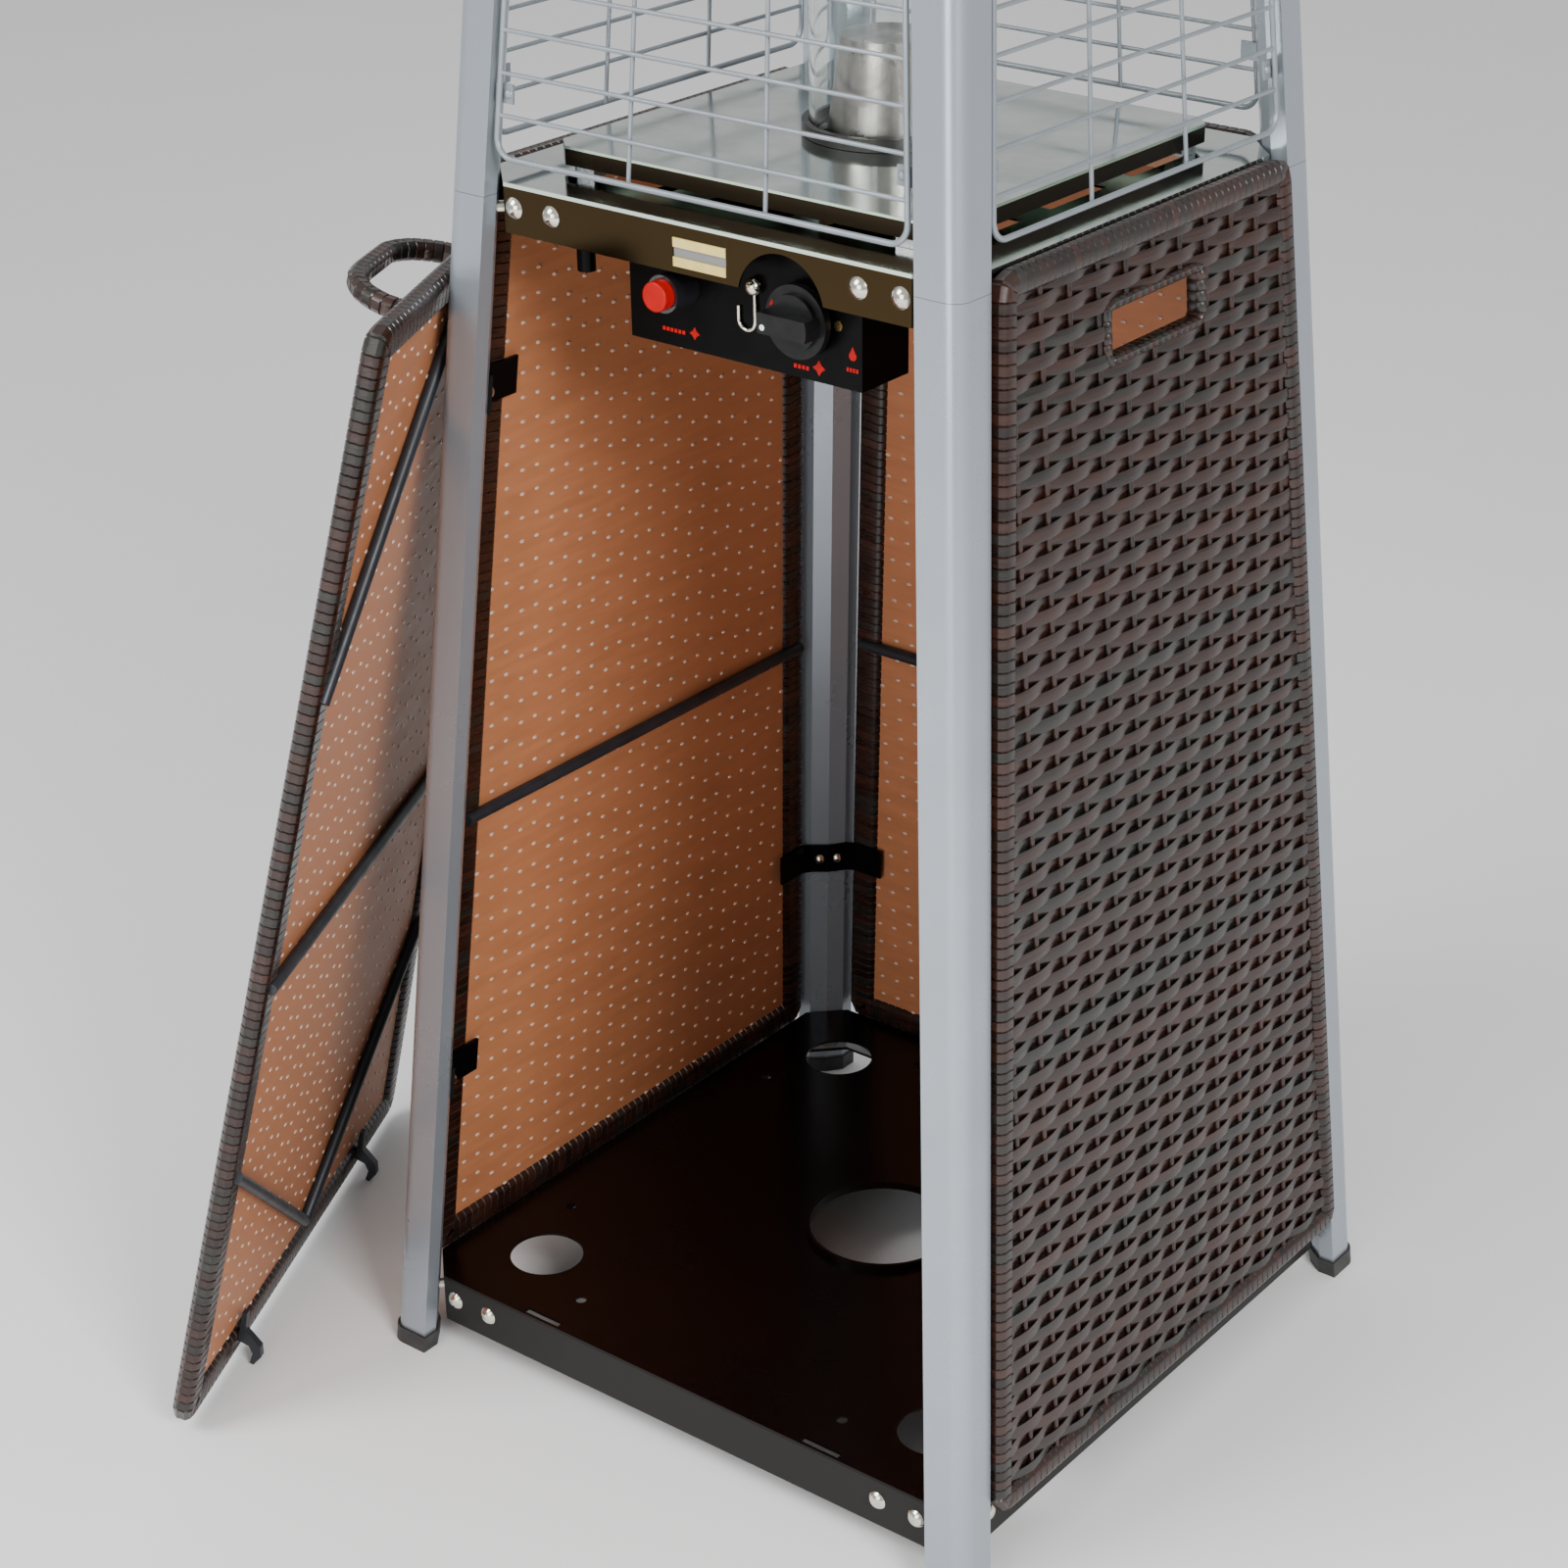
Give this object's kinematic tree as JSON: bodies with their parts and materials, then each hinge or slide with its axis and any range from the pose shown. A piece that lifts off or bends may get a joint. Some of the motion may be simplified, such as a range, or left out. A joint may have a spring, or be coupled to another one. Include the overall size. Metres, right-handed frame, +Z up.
{
  "type": "outdoor heater",
  "caption": "Tapered square patio heater: silver legs, woven wicker gas cabinet with lift-off door, mirror burner deck, glass flame tube in wire guards and a reflector.",
  "frame": {"origin": "on the floor, midway between the four feet", "axes": "+Z up; -Y towards the user, out of the door side; +X to the right of someone facing the door side"},
  "size_m": [0.7689, 0.7212, 2.2828],
  "materials": {
    "leg_paint": "satin silver-grey",
    "zinc_steel": "zinc plated",
    "foot_plastic": "moulded, matt",
    "tray_enamel": "gloss enamel, black-brown",
    "screw_chrome": "bright",
    "mirror_steel": "polished stainless steel",
    "wicker": "woven strip, slight sheen",
    "frame_paint": "dark grey, satin",
    "black_steel": "black, satin",
    "black_plastic": "satin",
    "red_plastic": "gloss",
    "dark_cylinder": "satin",
    "brass": "machined",
    "cast_alloy": "cast",
    "steel": "stainless",
    "dark_ring": "heat-proof, matt",
    "glass": "clear",
    "guard_wire": "light grey, satin",
    "aluminium": "satin",
    "catch": "satin"
  },
  "bodies": {
    "heater": {"back_guard": "guard_wire", "back_panel_frame": "frame_paint", "back_panel_wicker": "wicker", "base_tray": "tray_enamel", "burner": "steel", "burner_pipe": "steel", "burner_plate": "mirror_steel", "burner_plate_feet": "zinc_steel", "clip_screws": "screw_chrome", "control_box": "black_steel", "corner_bolts": "screw_chrome", "deck": "mirror_steel", "deck_corner_brackets": "zinc_steel", "dome_screws": "screw_chrome", "flame_screen": "steel", "foot_caps": "foot_plastic", "front_guard": "guard_wire", "gas_inlet": "brass", "gas_valve": "cast_alloy", "glass_seat_ring": "dark_ring", "glass_top_collar": "dark_ring", "glass_tube": "glass", "guard_clips": "guard_wire", "hook_screw": "screw_chrome", "idle_screw": "brass", "igniter_body": "dark_cylinder", "left_guard": "guard_wire", "left_panel_frame": "frame_paint", "left_panel_wicker": "wicker", "leg_sleeves": "zinc_steel", "lower_leg_back_left": "leg_paint", "lower_leg_back_right": "leg_paint", "lower_leg_front_left": "leg_paint", "lower_leg_front_right": "leg_paint", "magnet_catch": "catch", "panel_clips": "black_steel", "pilot_and_probe": "steel", "reflector": "aluminium", "reflector_nuts": "screw_chrome", "reflector_posts": "screw_chrome", "right_guard": "guard_wire", "right_panel_frame": "frame_paint", "right_panel_wicker": "wicker", "tilt_switch": "zinc_steel", "top_plate": "aluminium", "tray_corner_brackets": "zinc_steel", "upper_leg_back_left": "leg_paint", "upper_leg_back_right": "leg_paint", "upper_leg_front_left": "leg_paint", "upper_leg_front_right": "leg_paint"},
    "door": {"door_wicker": "wicker", "door_frame": "frame_paint", "door_hooks": "frame_paint", "door_handle": "wicker", "door_strike_screw": "screw_chrome"},
    "match_hook": {"match_hook": "screw_chrome"},
    "igniter_button": {"igniter_button": "red_plastic"},
    "valve_stem": {"valve_stem": "cast_alloy"},
    "control_knob": {"control_knob": "black_plastic"}
  },
  "joints": [
    {"name": "door_tip", "type": "hinge", "parent": "heater", "child": "door", "pos_m": [-0.38105, -0.23697, 0], "axis": [0.4258, -0.9048, 0], "range_deg": [0, 22]},
    {"name": "match_hook_swing", "type": "hinge", "parent": "heater", "child": "match_hook", "pos_m": [0.0237, -0.1666, 0.85], "axis": [0, 1, 0], "range_deg": [-35, 35]},
    {"name": "igniter_push", "type": "slide", "parent": "heater", "child": "igniter_button", "axis": [0, 1, 0], "range_m": [0, 0.004], "stiffness_N_per_m": 800, "springref_m": -0.001},
    {"name": "knob_push", "type": "slide", "parent": "heater", "child": "valve_stem", "axis": [0, 1, 0], "range_m": [0, 0.0035], "stiffness_N_per_m": 1200, "springref_m": -0.001},
    {"name": "knob_turn", "type": "hinge", "parent": "valve_stem", "child": "control_knob", "pos_m": [0.062, -0.18, 0.837], "axis": [0, 1, 0], "range_deg": [0, 150]}
  ]
}
